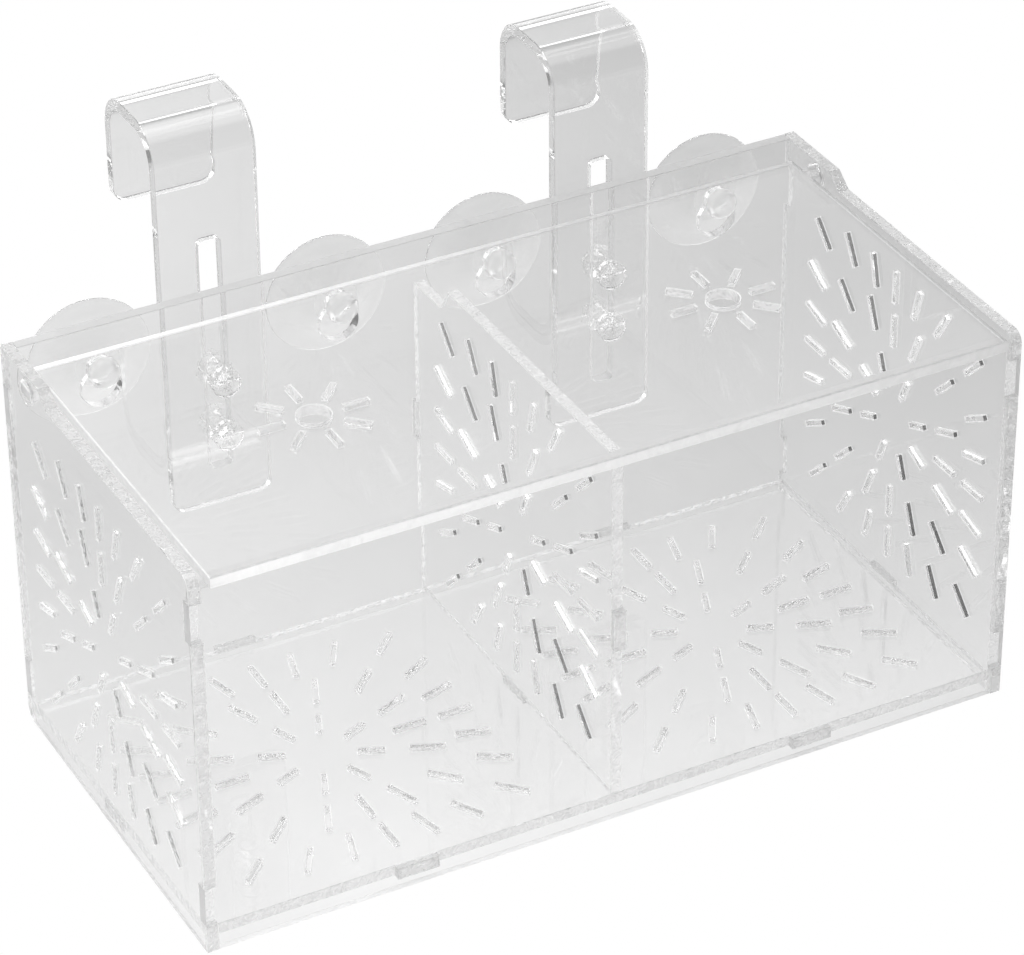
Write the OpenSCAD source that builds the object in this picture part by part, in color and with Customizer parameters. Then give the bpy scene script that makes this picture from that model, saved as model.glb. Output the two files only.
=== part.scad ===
// Two-room fish breeding box in clear sheet acrylic.
// Six tabbed panels are cemented into a tray, a lid turns on two square tabs
// in round ear holes, two bent hangers hook over an aquarium rim and slide on
// screws, and four suction cups sit in keyholes in the back panel.
// X runs along the front, Y from the front to the tank wall, Z up.
// Origin: bottom centre of the whole object's bounding box. Millimetres.

/* [Box] */
// Outside length of the box
box_w = 200; // [160:1:260]
// Outside depth of the box, front panel face to back panel face
box_d = 97.1; // [90:0.1:120]
// Height of the back panel and of the side panels' hinge ears
back_h = 99.2; // [96:0.1:120]
// Thickness of the acrylic sheet
t = 2.8; // [2.5:0.1:3]
// Height of the floor panel's underside above the base
floor_z = 2.8; // [2:0.1:6]

/* [Panel joints] */
// Length of every locating tab
tab_len = 10; // [8:0.5:14]
// Height of the lower corner tabs' bottom edge
tab_low_z = 7; // [6.5:0.5:10]
// Height of the upper corner tabs' bottom edge
tab_high_z = 79.6; // [70:0.1:80]
// Distance of the floor tabs from the middle of the box
floor_tab_x = 49.5; // [30:0.5:60]
// Radius of the rounded corners of the side panels
corner_r = 3; // [1:0.5:4]

/* [Lid] */
// Depth of the lid that stands forward of the front panel
lid_overhang = 1.4; // [0:0.1:3]
// Gap between the lid and each side panel
lid_side_gap = 1.6; // [0.4:0.1:2]
// Gap between the lid's underside and the front panel's top edge
lid_gap = 0.05; // [0.02:0.01:0.1]
// Distance from the back panel's outer face to the hinge axis
pivot_from_back = 13.6; // [12:0.1:15]
// Depth of the lid behind the hinge axis
lid_tail = 6.8; // [5:0.1:7]
// Width of the lid's hinge tabs, front to back
hinge_tab = 5; // [4:0.1:5]
// Radius of the ear holes that the hinge tabs turn in
ear_hole_r = 2.9; // [2.9:0.01:3.1]

/* [Water slots] */
// Width of one laser-cut water slot
slot_w = 1.1; // [1:0.1:2]
// Length of the slots in the two outer rings
slot_len = 8; // [6:0.5:9]
// Length of the slots in the inner ring
slot_len_in = 6; // [4:0.5:7]
// Radius of the inner ring, at the middle of its slots
ring1_r = 11.2; // [10:0.1:14]
// Half width of the middle ring
ring2_r = 22; // [20:0.5:24]
// Half width of the outer ring
ring3_r = 33.5; // [31:0.5:34]
// Distance of the slot bursts' middle from the front panel's face
burst_y = 47.5; // [46:0.1:50]
// Height of the middle of the bursts in the upright panels
burst_z = 48.2; // [46:0.1:49]
// Distance of the floor's two bursts from the middle of the box
burst_x = 50.4; // [48:0.1:52]

/* [Lid vents] */
// Diameter of the round feeding hole in each vent
vent_hole_d = 7.6; // [6:0.1:10]
// Length of the eight vent slots round it
vent_slot_len = 5.8; // [5:0.1:8]
// Width of the vent slots
vent_slot_w = 1.2; // [1:0.1:3]
// Radius from the feeding hole's centre to the middle of the vent slots
vent_slot_r = 10; // [9:0.1:12]
// Distance of the vents from the middle of the box
vent_x = 50.2; // [40:0.1:60]
// Distance of the vents from the front panel's face
vent_y = 44.3; // [35:0.1:55]

/* [Hangers] */
// Width of the hanger strip
hanger_w = 24.3; // [20:0.1:26]
// Overall height of a hanger
hanger_h = 98.5; // [90:0.5:130]
// Overall depth of the hook, front face to back face
hook_d = 26.5; // [22:0.5:40]
// Length of the lip that hangs behind the tank rim
hook_lip = 28.5; // [18:0.5:40]
// Distance of the hangers' screws from the middle of the box
hanger_x = 49.1; // [48.5:0.1:49.5]
// Sideways play taken up by both hangers, to the left
hanger_play = 0.5; // [0:0.1:0.5]
// Height of the top of the left hanger, as set
left_top_z = 140.4; // [135:0.1:145]
// Height of the top of the right hanger, as set
right_top_z = 134.1; // [132:0.1:145]
// Outer radius of the front bend
bend_front_r = 9.5; // [4:0.5:10]
// Outer radius of the rear bend
bend_rear_r = 9; // [4:0.5:10]
// Width of the adjusting slot
adj_slot_w = 5.3; // [5.2:0.1:6]
// Length of the adjusting slot
adj_slot_len = 60; // [30:1:62]
// Distance from the hanger's top to the top of its slot
adj_slot_top = 29; // [28.5:0.5:36]

/* [Fixings] */
// Height of the upper screws
screw_high_z = 75.2; // [70:0.1:78]
// Spacing of the two screws of one hanger
screw_gap = 14; // [10:0.5:20]
// Diameter of the plastic screws
screw_d = 4; // [3:0.5:4]
// Diameter of the screw heads
screw_head_d = 7; // [6:0.5:8]
// Size of the nuts across their flats
nut_af = 7; // [6:0.5:8]
// Thickness of the nuts
nut_h = 3.2; // [2:0.1:4]

/* [Suction cups] */
// Diameter of the suction cups
cup_d = 30; // [24:0.5:30]
// Distance of the outer cups from the middle of the box
cup_x_out = 78; // [77.5:0.1:80]
// Distance of the inner cups from the middle of the box
cup_x_in = 20; // [17:0.1:20.5]
// Height of the cups' axes
cup_z = 86.4; // [82:0.1:88]
// Diameter of the cup's neck
cup_neck_d = 5.8; // [4:0.1:5.9]
// Diameter of the cup's mushroom head
cup_head_d = 7.4; // [6.5:0.1:8]
// Diameter of the keyhole's round part
keyhole_d = 9.6; // [8.5:0.1:10]
// Width of the keyhole's narrow part
keyhole_w = 6; // [6:0.1:6.4]
// Drop from the cup's axis to the middle of the keyhole's round part
keyhole_drop = 4.8; // [4:0.1:6]

/* [Hidden] */

$fn = 64;
e = 0.5;                                  // overrun of every cut
side_h = back_h - 3.2;                    // top of the side panels
front_h = side_h - t - lid_gap + 0.0;     // top of the front panel
lid_z = front_h + lid_gap;                // underside of the lid
in_x = box_w / 2 - t;                     // inner face of the side panels
in_y = box_d - t;                         // inner face of the back panel
mid_y = box_d / 2;
floor_top = floor_z + t;
pivot_y = box_d - pivot_from_back;
pivot_z = lid_z + t / 2;
ear_ramp_y = pivot_y - 11;                // where the ear starts to rise
ear_ramp_d = 4.2;
relief_z = pivot_z - lid_tail - 0.9;      // divider cut away under the lid's tail
relief_y = pivot_y - 2.2;
hub_z = 50;                               // middle of the divider's end tabs
y_shift = -(box_d + hook_d - lid_overhang) / 2;

clear = [0.86, 0.88, 0.90, 0.42];
clear_dark = [0.78, 0.80, 0.82, 0.5];
soft = [0.90, 0.91, 0.93, 0.55];

// ---------- 2D building blocks ----------

// A slot of length l and width w along +X, centred, with square laser-cut ends
module slot2d(l, w) { square([l, w], center = true); }

// Radius of the rounded-square ring of half width h at angle a
function ring(h, a, p) = h / pow(pow(abs(cos(a)), p) + pow(abs(sin(a)), p), 1 / p);

// Forty-eight slots that all point to the middle: 8, 16 and 24 in three rings
module burst2d() {
    for (k = [0:7]) rotate(22.5 + 45 * k) translate([ring1_r, 0]) slot2d(slot_len_in, slot_w);
    for (k = [0:15]) rotate(22.5 * k) translate([ring(ring2_r, 22.5 * k, 10), 0]) slot2d(slot_len, slot_w);
    for (k = [0:23]) rotate(15 * k) translate([ring(ring3_r, 15 * k, 11), 0]) slot2d(slot_len, slot_w);
}

// Feeding hole with eight vent slots round it
module vent2d() {
    circle(d = vent_hole_d);
    for (k = [0:7]) rotate(45 * k) translate([vent_slot_r, 0]) slot2d(vent_slot_len, vent_slot_w);
}

// Rectangle w by h, centred, with corner radius r
module rounded2d(w, h, r) {
    square([w - 2 * r, h], center = true);
    square([w, h - 2 * r], center = true);
    for (sx = [-1, 1], sy = [-1, 1]) translate([sx * (w / 2 - r), sy * (h / 2 - r)]) circle(r);
}

// What a corner of radius r loses, corner at the origin, body towards +X +Y
module corner_cut2d(r) {
    difference() {
        translate([-e, -e]) square([r + e, r + e]);
        translate([r, r]) circle(r);
    }
}

// ---------- panels, drawn flat and stood up ----------

// Stands an XZ drawing up as a sheet whose front face is at y
module upright_xz(y) { translate([0, y + t, 0]) rotate([90, 0, 0]) linear_extrude(t) children(); }
// Stands a YZ drawing up as a sheet whose left face is at x
module upright_yz(x) { translate([x, 0, 0]) rotate([90, 0, 90]) linear_extrude(t) children(); }
// Lays an XY drawing as a sheet whose underside is at z
module flat_xy(z) { translate([0, 0, z]) linear_extrude(t) children(); }

module side_outline() {
    difference() {
        polygon([[0, 0], [box_d, 0], [box_d, back_h], [ear_ramp_y + ear_ramp_d, back_h],
                 [ear_ramp_y, side_h], [0, side_h]]);
        // rounded front top corner and rounded bottom rear corner
        translate([0, side_h]) mirror([0, 1]) corner_cut2d(corner_r);
        translate([box_d, 0]) mirror([1, 0]) corner_cut2d(corner_r);
        // seats of the front and back panels' corner tabs
        for (z = [tab_low_z, tab_high_z]) {
            translate([-e, z]) square([t + e, tab_len]);
            translate([box_d - t, z]) square([t + e, tab_len]);
        }
        // mortise of the floor's side tab
        translate([mid_y - tab_len / 2, floor_z]) square([tab_len, t]);
        // ear hole that the lid turns in
        translate([pivot_y, pivot_z]) circle(ear_hole_r);
        translate([burst_y, burst_z]) burst2d();
    }
}

module end_outline(h) {
    difference() {
        union() {
            translate([-in_x, 0]) square([2 * in_x, h]);
            for (z = [tab_low_z, tab_high_z]) translate([-box_w / 2, z]) square([box_w, tab_len]);
        }
        // mortises of the floor tabs and of the divider tab
        for (s = [-1, 1]) translate([s * floor_tab_x - tab_len / 2, floor_z]) square([tab_len, t]);
        translate([-t / 2, hub_z - tab_len / 2]) square([t, tab_len]);
    }
}

module keyhole2d() {
    circle(d = keyhole_w);
    translate([-keyhole_w / 2, -keyhole_drop]) square([keyhole_w, keyhole_drop]);
    translate([0, -keyhole_drop]) circle(d = keyhole_d);
}

module left_side_panel() {
    color(clear) translate([0, y_shift, 0]) upright_yz(-box_w / 2) side_outline();
}

module right_side_panel() {
    color(clear_dark) translate([0, y_shift, 0]) upright_yz(in_x) side_outline();
}

module front_panel() {
    color(clear) translate([0, y_shift, 0]) upright_xz(0) end_outline(front_h);
}

module back_panel() {
    color(clear_dark) translate([0, y_shift, 0]) upright_xz(in_y) difference() {
        end_outline(back_h);
        for (x = [-cup_x_out, -cup_x_in, cup_x_in, cup_x_out]) translate([x, cup_z]) keyhole2d();
        for (s = [-1, 1], k = [0, 1])
            translate([s * hanger_x, screw_high_z - k * screw_gap]) circle(d = screw_d + 0.1);
    }
}

module floor_panel() {
    color(clear) translate([0, y_shift, 0]) flat_xy(floor_z) difference() {
        union() {
            translate([-in_x, t]) square([2 * in_x, in_y - t]);
            for (s = [-1, 1]) translate([s * floor_tab_x - tab_len / 2, 0]) square([tab_len, box_d]);
            translate([-box_w / 2, mid_y - tab_len / 2]) square([box_w, tab_len]);
        }
        for (s = [-1, 1]) translate([s * burst_x, burst_y]) burst2d();
        // mortise of the divider's foot tab
        translate([-t / 2, mid_y - tab_len / 2]) square([t, tab_len]);
    }
}

module divider_panel() {
    color(clear) translate([0, y_shift, 0]) upright_yz(-t / 2) difference() {
        union() {
            polygon([[t, floor_top], [in_y, floor_top], [in_y, relief_z], [relief_y, relief_z],
                     [relief_y - 4, front_h], [t, front_h]]);
            translate([0, hub_z - tab_len / 2]) square([box_d, tab_len]);
            translate([mid_y - tab_len / 2, floor_z]) square([tab_len, t + 1]);
        }
        translate([burst_y, burst_z]) burst2d();
    }
}

// ---------- lid ----------

module lid() {
    lid_x = in_x - lid_side_gap;
    color(clear) translate([0, y_shift, 0]) flat_xy(lid_z) difference() {
        union() {
            translate([-lid_x, -lid_overhang]) square([2 * lid_x, pivot_y + lid_tail + lid_overhang]);
            // hinge tabs, flush with the outside of the ears
            translate([-box_w / 2, pivot_y - hinge_tab / 2]) square([box_w, hinge_tab]);
        }
        for (s = [-1, 1]) translate([s * vent_x, vent_y]) vent2d();
    }
}

// ---------- hangers ----------

// Side view of the bent strip, front face on the Y axis origin, top at z = 0
module hook2d(d, ro1, ro2, top) {
    translate([ro1, -hanger_h]) square([d - ro1 - ro2, hanger_h + top]);
    translate([0, -hanger_h]) square([ro1, hanger_h + top - ro1]);
    translate([d - ro2, -hanger_h]) square([ro2, hanger_h + top - ro2]);
    translate([ro1, top - ro1]) circle(ro1);
    translate([d - ro2, top - ro2]) circle(ro2);
}

module hanger(top_z) {
    translate([0, box_d, top_z]) difference() {
        translate([-hanger_w / 2, 0, 0]) rotate([90, 0, 90]) linear_extrude(hanger_w) difference() {
            hook2d(hook_d, bend_front_r, bend_rear_r, 0);
            translate([t, -e]) hook2d(hook_d - 2 * t, bend_front_r - t, bend_rear_r - t, e - t);
            translate([t, -hanger_h - 1]) square([hook_d, hanger_h + 1 - hook_lip]);
        }
        // adjusting slot
        translate([0, t + e, -adj_slot_top - adj_slot_len / 2]) rotate([90, 0, 0])
            linear_extrude(t + 2 * e) rounded2d(adj_slot_w, adj_slot_len, 1.2);
        // rounded lower corners of the strip and of the lip
        for (m = [0, 1]) mirror([m, 0, 0]) {
            translate([-hanger_w / 2, t + e, -hanger_h]) rotate([90, 0, 0])
                linear_extrude(t + 2 * e) corner_cut2d(3);
            translate([-hanger_w / 2, hook_d + e, -hook_lip]) rotate([90, 0, 0])
                linear_extrude(t + 2 * e) corner_cut2d(3.5);
        }
    }
}

module left_hanger() { color(clear) translate([-hanger_x - hanger_play, y_shift, 0]) hanger(left_top_z); }
module right_hanger() { color(clear) translate([hanger_x - hanger_play, y_shift, 0]) hanger(right_top_z); }

// ---------- suction cups ----------

// Outline of the cup, x = radius, y = distance behind the back panel's face
cup_r = cup_d / 2;
function bowl(r, y0, y1, r0) = y0 + (y1 - y0) * pow((r - r0) / (cup_r - r0), 1.6);
cup_profile = concat(
    [[0, -t - 3.6], [cup_head_d / 2 - 1.3, -t - 3.6], [cup_head_d / 2 - 0.4, -t - 3.1],
     [cup_head_d / 2, -t - 2.2], [cup_head_d / 2, -t - 0.9], [cup_head_d / 2 - 0.5, -t - 0.05],
     [cup_neck_d / 2, -t - 0.05], [cup_neck_d / 2, 0.05], [5.6, 0.05], [6, 0.5]],
    [for (i = [0:6]) let (r = 6 + (cup_r - 6) * i / 6) [r, bowl(r, 1.5, 5.0, 6)]],
    [[cup_r, 5.6], [cup_r - 1, 5.6]],
    [for (i = [6:-1:0]) let (r = 4 + (cup_r - 5.4) * i / 6) [r, bowl(r, 3.4, 5.5, 4)]],
    [[0, 3.2]]);

module cup(x) {
    translate([x, box_d, cup_z]) rotate([-90, 0, 0]) rotate_extrude($fn = 72) polygon(cup_profile);
}

module outer_left_suction_cup() { color(soft) translate([0, y_shift, 0]) cup(-cup_x_out); }
module inner_left_suction_cup() { color(soft) translate([0, y_shift, 0]) cup(-cup_x_in); }
module inner_right_suction_cup() { color(soft) translate([0, y_shift, 0]) cup(cup_x_in); }
module outer_right_suction_cup() { color(soft) translate([0, y_shift, 0]) cup(cup_x_out); }

// ---------- screws and nuts ----------

// Clear plastic screw: slotted cheese head inside the box, end past the nut
module screw(s, k) {
    translate([s * hanger_x, in_y, screw_high_z - k * screw_gap]) rotate([-90, 0, 0]) {
        difference() {
            translate([0, 0, -2.6]) cylinder(h = 2.6, d = screw_head_d);
            translate([0, 0, -2.6]) cube([screw_head_d + 2, 1, 2.4], center = true);
        }
        cylinder(h = 2 * t + 0.05 + nut_h + 1.6, d = screw_d);
    }
}

// Hexagon nut clamping the hanger strip
module nut(s, k) {
    translate([s * hanger_x, box_d + t + 0.05, screw_high_z - k * screw_gap]) rotate([-90, 0, 0])
        difference() {
            rotate(30) cylinder(h = nut_h, d = nut_af / cos(30), $fn = 6);
            translate([0, 0, -e]) cylinder(h = nut_h + 2 * e, d = screw_d + 0.02);
        }
}

module left_upper_screw() { color(soft) translate([0, y_shift, 0]) screw(-1, 0); }
module left_lower_screw() { color(soft) translate([0, y_shift, 0]) screw(-1, 1); }
module right_upper_screw() { color(soft) translate([0, y_shift, 0]) screw(1, 0); }
module right_lower_screw() { color(soft) translate([0, y_shift, 0]) screw(1, 1); }
module left_upper_nut() { color(soft) translate([0, y_shift, 0]) nut(-1, 0); }
module left_lower_nut() { color(soft) translate([0, y_shift, 0]) nut(-1, 1); }
module right_upper_nut() { color(soft) translate([0, y_shift, 0]) nut(1, 0); }
module right_lower_nut() { color(soft) translate([0, y_shift, 0]) nut(1, 1); }

left_side_panel();
right_side_panel();
front_panel();
back_panel();
floor_panel();
divider_panel();
lid();
left_hanger();
right_hanger();
outer_left_suction_cup();
inner_left_suction_cup();
inner_right_suction_cup();
outer_right_suction_cup();
left_upper_screw();
left_lower_screw();
right_upper_screw();
right_lower_screw();
left_upper_nut();
left_lower_nut();
right_upper_nut();
right_lower_nut();
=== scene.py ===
# Looks of the two-room breeding box: every sheet, hanger, cup, screw and nut as its own piece.
# Lengths below are millimetres in the box's own frame: X from the middle, Y from the front face, Z up.
import math
import bpy, bmesh
from mathutils import Vector, Matrix, noise, geometry
import numpy as np


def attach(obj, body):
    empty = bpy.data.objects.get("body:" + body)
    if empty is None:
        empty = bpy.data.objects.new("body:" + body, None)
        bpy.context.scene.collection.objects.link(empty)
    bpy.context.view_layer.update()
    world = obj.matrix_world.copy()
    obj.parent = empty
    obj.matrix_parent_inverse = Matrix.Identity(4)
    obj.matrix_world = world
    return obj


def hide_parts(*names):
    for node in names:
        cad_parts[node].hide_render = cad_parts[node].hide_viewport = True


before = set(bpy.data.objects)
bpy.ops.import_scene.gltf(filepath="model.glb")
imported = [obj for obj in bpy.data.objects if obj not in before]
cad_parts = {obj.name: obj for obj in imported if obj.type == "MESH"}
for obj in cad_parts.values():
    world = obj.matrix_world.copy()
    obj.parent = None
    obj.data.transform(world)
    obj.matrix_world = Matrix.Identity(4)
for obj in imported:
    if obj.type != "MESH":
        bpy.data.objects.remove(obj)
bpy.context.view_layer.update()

# ------------------------------------------------------------------ dimensions (as in the CAD source)
W, D, T = 200.0, 97.1, 2.8
BACK_H = 99.2
SIDE_H = BACK_H - 3.2
LID_GAP = 0.05
FRONT_H = SIDE_H - T - LID_GAP
LID_Z = FRONT_H + LID_GAP
IN_X, IN_Y = W / 2 - T, D - T
MID_Y = D / 2
BURST_X, BURST_Y, BURST_Z, SLIT = 50.4, 47.5, 48.2, 1.1
FLOOR_Z = 2.8
FLOOR_TOP = FLOOR_Z + T
TAB, TAB_LOW, TAB_HIGH, FLOOR_TAB_X, HUB_Z = 10.0, 7.0, 79.6, 49.5, 50.0
OVERHANG, SIDE_GAP = 1.4, 1.6
PIVOT_Y, PIVOT_Z, EAR_R = D - 13.6, LID_Z + T / 2, 2.9
LID_TAIL, HINGE_TAB = 6.8, 5.0
EAR_Y, EAR_D = PIVOT_Y - 11.0, 4.2
RELIEF_Z, RELIEF_Y = PIVOT_Z - LID_TAIL - 0.9, PIVOT_Y - 2.2
HANGER_X, PLAY, HANGER_W, HANGER_H = 49.1, 0.5, 24.3, 98.5
HOOK_D, HOOK_LIP, R1, R2 = 26.5, 28.5, 9.5, 9.0
TOPS = {"left": 140.4, "right": 134.1}
SLOT_TOP, SLOT_L, SLOT_W = 29.0, 60.0, 5.3
SCREW_Z, SCREW_GAP, SCREW_D, HEAD_D = 75.2, 14.0, 4.0, 7.0
NUT_AF, NUT_H = 7.0, 3.2
CUP_R, CUP_Z, NECK_R, HEAD_R = 15.0, 86.4, 2.9, 3.7
KEY_R, KEY_W, KEY_DROP = 4.8, 6.0, 4.8
Y0 = -(D + HOOK_D - OVERHANG) / 2
MM = 0.001
GAP = 0.035      # seam left between two cemented sheets
BEV = 0.14       # width of the bright melted edge that the laser leaves
SLOT_BEV = 0.24  # the same round a water slot


def pos(x, y, z):
    return Vector((x * MM, (y + Y0) * MM, z * MM))


# ------------------------------------------------------------------ node helpers
class Mat:
    """A material's node tree with short helpers."""

    def __init__(self, name):
        self.m = bpy.data.materials.new(name)
        self.m.use_nodes = True
        self.nt = self.m.node_tree
        self.nt.nodes.clear()
        self.out = self.n("ShaderNodeOutputMaterial")

    def n(self, kind, **props):
        node = self.nt.nodes.new(kind)
        for k, v in props.items():
            setattr(node, k, v)
        return node

    def put(self, node, **vals):
        for k, v in vals.items():
            sock = node.inputs[k.replace("_", " ")]
            if isinstance(v, bpy.types.NodeSocket):
                self.nt.links.new(v, sock)
            else:
                sock.default_value = v
        return node

    def link(self, a, b):
        self.nt.links.new(a, b)

    def math(self, op, a, b=None, clamp=False):
        node = self.n("ShaderNodeMath", operation=op, use_clamp=clamp)
        for i, v in enumerate((a, b)):
            if v is None:
                continue
            if isinstance(v, bpy.types.NodeSocket):
                self.link(v, node.inputs[i])
            else:
                node.inputs[i].default_value = v
        return node.outputs[0]

    def coords(self, scale=(1, 1, 1), rot=(0, 0, 0)):
        tc = self.n("ShaderNodeTexCoord")
        mp = self.n("ShaderNodeMapping")
        mp.inputs["Scale"].default_value = scale
        mp.inputs["Rotation"].default_value = rot
        self.link(tc.outputs["Object"], mp.inputs["Vector"])
        return mp.outputs[0]

    def noise(self, vec, scale, detail=2.0, rough=0.5, distort=0.0):
        node = self.n("ShaderNodeTexNoise")
        self.link(vec, node.inputs["Vector"])
        node.inputs["Scale"].default_value = scale
        node.inputs["Detail"].default_value = detail
        node.inputs["Roughness"].default_value = rough
        node.inputs["Distortion"].default_value = distort
        return node.outputs["Fac"]

    def ramp(self, fac, stops):
        node = self.n("ShaderNodeValToRGB")
        self.link(fac, node.inputs["Fac"])
        el = node.color_ramp.elements
        while len(el) < len(stops):
            el.new(0.5)
        for e, (p, c) in zip(el, stops):
            e.position = p
            e.color = (c, c, c, 1) if isinstance(c, (int, float)) else (*c, 1)
        return node.outputs["Color"]

    def bump(self, height, strength, dist, normal=None):
        node = self.n("ShaderNodeBump")
        node.inputs["Strength"].default_value = strength
        node.inputs["Distance"].default_value = dist
        self.link(height, node.inputs["Height"])
        if normal is not None:
            self.link(normal, node.inputs["Normal"])
        return node.outputs["Normal"]

    def lamps_through(self, shader, share):
        """Lamps and bounced light pass through the clear sheet, dimmed, while sight rays refract."""
        lp = self.n("ShaderNodeLightPath")
        fac = self.math("MAXIMUM", lp.outputs["Is Shadow Ray"], lp.outputs["Is Diffuse Ray"])
        tr = self.n("ShaderNodeBsdfTransparent")
        tr.inputs["Color"].default_value = (share, share, share, 1)
        mix = self.n("ShaderNodeMixShader")
        self.link(fac, mix.inputs[0])
        self.link(shader, mix.inputs[1])
        self.link(tr.outputs[0], mix.inputs[2])
        self.link(mix.outputs[0], self.out.inputs["Surface"])


def clear_sheet(name, tint, wave=1.0):
    """Polished face of cast acrylic: clear, with the sheet's faint waviness and a few hairline scuffs."""
    m = Mat(name)
    p = m.n("ShaderNodeBsdfPrincipled")
    m.put(p, Roughness=0.012, IOR=1.49)
    p.inputs["Transmission Weight"].default_value = 1.0
    vec = m.coords()
    big = m.noise(vec, 55.0, 2.0, 0.5)
    nrm = m.bump(big, 0.25 * wave, 0.00006)
    # thin scuffs, stretched along one way
    sc = m.noise(m.coords((900, 60, 260), (0.3, 0.5, 0.9)), 1.0, 3.0, 0.6)
    rough = m.ramp(sc, [(0.0, 0.006), (0.68, 0.010), (0.76, 0.05), (1.0, 0.07)])
    m.link(rough, p.inputs["Roughness"])
    m.link(nrm, p.inputs["Normal"])
    col = m.ramp(big, [(0.3, tuple(c * 0.985 for c in tint)), (0.7, tint)])
    m.link(col, p.inputs["Base Color"])
    m.lamps_through(p.outputs[0], 0.955)
    return m.m


def whitish(m, shade, back=0.5):
    """Diffuse white that also lets light soak through from behind. A pair of shades is painted light: brighter at the
    box's left, where the light falls, and dimmer at its right.
    """
    d = m.n("ShaderNodeBsdfDiffuse")
    t = m.n("ShaderNodeBsdfTranslucent")
    if isinstance(shade, tuple):
        # painted light: the colour runs from the left shade to the right shade across the box
        sep = m.n("ShaderNodeSeparateXYZ")
        m.link(m.coords(), sep.inputs[0])
        along = m.math("DIVIDE", m.math("ADD", sep.outputs["X"], 0.1), 0.2, True)
        col = m.ramp(along, [(0.0, shade[0]), (1.0, shade[1])])
        m.link(col, d.inputs["Color"])
        m.link(col, t.inputs["Color"])
    else:
        d.inputs["Color"].default_value = (shade, shade, shade, 1)
        t.inputs["Color"].default_value = (shade, shade, shade, 1)
    mix = m.n("ShaderNodeMixShader")
    mix.inputs[0].default_value = back
    m.link(d.outputs[0], mix.inputs[1])
    m.link(t.outputs[0], mix.inputs[2])
    return mix.outputs[0]


def cut_edge(name, tint, white, spread, mottle=0.15, rough=0.04, scale=420.0, wetted=None, shade=0.96, back=0.5, painted_glow=None):
    """Laser-cut edge: clear and shiny with melted, whitish blobs. white is their mean share, spread how much it varies.
    The last argument is a glow painted on as emission, standing in for the faint light that the sheet carries inside
    itself to a frosted edge, at the box's left and at its right."""
    m = Mat(name)
    p = m.n("ShaderNodeBsdfPrincipled")
    m.put(p, IOR=1.49)
    p.inputs["Transmission Weight"].default_value = 1.0
    p.inputs["Base Color"].default_value = (*tint, 1)
    vec = m.coords()
    blob = m.noise(vec, scale, 3.0, 0.62, 0.6)
    lines = m.noise(m.coords((2600, 2600, 2600)), 1.0, 1.0, 0.4)
    n1 = m.bump(blob, mottle, 0.0007)
    n2 = m.bump(lines, mottle, 0.0001, n1)
    m.link(m.ramp(blob, [(0.30, rough), (0.70, rough * 3)]), p.inputs["Roughness"])
    m.link(n2, p.inputs["Normal"])
    lo, hi = max(0.0, white - spread), min(1.0, white + spread)
    share = m.ramp(blob, [(0.42, lo), (0.58, hi)])
    mix = m.n("ShaderNodeMixShader")
    m.link(share, mix.inputs[0])
    m.link(p.outputs[0], mix.inputs[1])
    m.link(whitish(m, shade, back), mix.inputs[2])
    surface = mix.outputs[0]
    if wetted is not None:
        # blocks where the cement has run in and the seam disappears, with a few trapped bubbles
        runs = m.noise(vec, 210.0, 1.5, 0.55, 0.4)
        bubbles = m.noise(m.coords((1, 1, 1), (0.4, 0.2, 0.1)), 1300.0, 1.0, 0.5)
        wet = m.math("MULTIPLY", m.ramp(runs, [(0.5 - wetted, 1.0), (0.53 - wetted, 0.0)]), m.ramp(bubbles, [(0.60, 1.0), (0.63, 0.0)]))
        clear = m.n("ShaderNodeBsdfTransparent")
        clear.inputs["Color"].default_value = (0.99, 0.99, 0.99, 1)
        mix2 = m.n("ShaderNodeMixShader")
        m.link(wet, mix2.inputs[0])
        m.link(surface, mix2.inputs[1])
        m.link(clear.outputs[0], mix2.inputs[2])
        surface = mix2.outputs[0]
    if painted_glow:
        # painted glow: emission on the edge, strong at the box's left and fading to almost none at its right
        sep = m.n("ShaderNodeSeparateXYZ")
        m.link(m.coords(), sep.inputs[0])
        along = m.math("DIVIDE", m.math("ADD", sep.outputs["X"], 0.1), 0.2, True)
        glow_paint = m.n("ShaderNodeEmission")
        m.link(m.ramp(along, [(0.25, painted_glow[0]), (0.65, painted_glow[1])]), glow_paint.inputs["Color"])
        both = m.n("ShaderNodeAddShader")
        m.link(surface, both.inputs[0])
        m.link(glow_paint.outputs[0], both.inputs[1])
        surface = both.outputs[0]
    m.lamps_through(surface, 0.80)
    return m.m


def soft_clear(name, tint, rough, bumps, ior=1.5, share=0.9, milk=0.3, scale=260.0, specks=None):
    """Moulded clear plastic, slightly uneven, with scattered white specks."""
    m = Mat(name)
    p = m.n("ShaderNodeBsdfPrincipled")
    m.put(p, IOR=ior)
    p.inputs["Transmission Weight"].default_value = 1.0
    vec = m.coords()
    nz = m.noise(vec, scale, 2.0, 0.5)
    m.link(m.ramp(nz, [(0.3, rough), (0.7, rough * 2.2)]), p.inputs["Roughness"])
    m.link(m.bump(nz, bumps, 0.0003), p.inputs["Normal"])
    m.link(m.ramp(nz, [(0.3, tuple(c * 0.97 for c in tint)), (0.7, tint)]), p.inputs["Base Color"])
    mix = m.n("ShaderNodeMixShader")
    if specks is None:
        m.link(m.ramp(nz, [(0.3, milk * 0.8), (0.7, milk * 1.2)]), mix.inputs[0])
    else:
        m.link(m.ramp(m.noise(vec, 1100.0, 1.0, 0.5), [(specks, milk), (specks + 0.04, 0.95)]), mix.inputs[0])
    m.link(p.outputs[0], mix.inputs[1])
    m.link(whitish(m, 0.93, 0.6), mix.inputs[2])
    m.lamps_through(mix.outputs[0], share)
    return m.m


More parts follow.
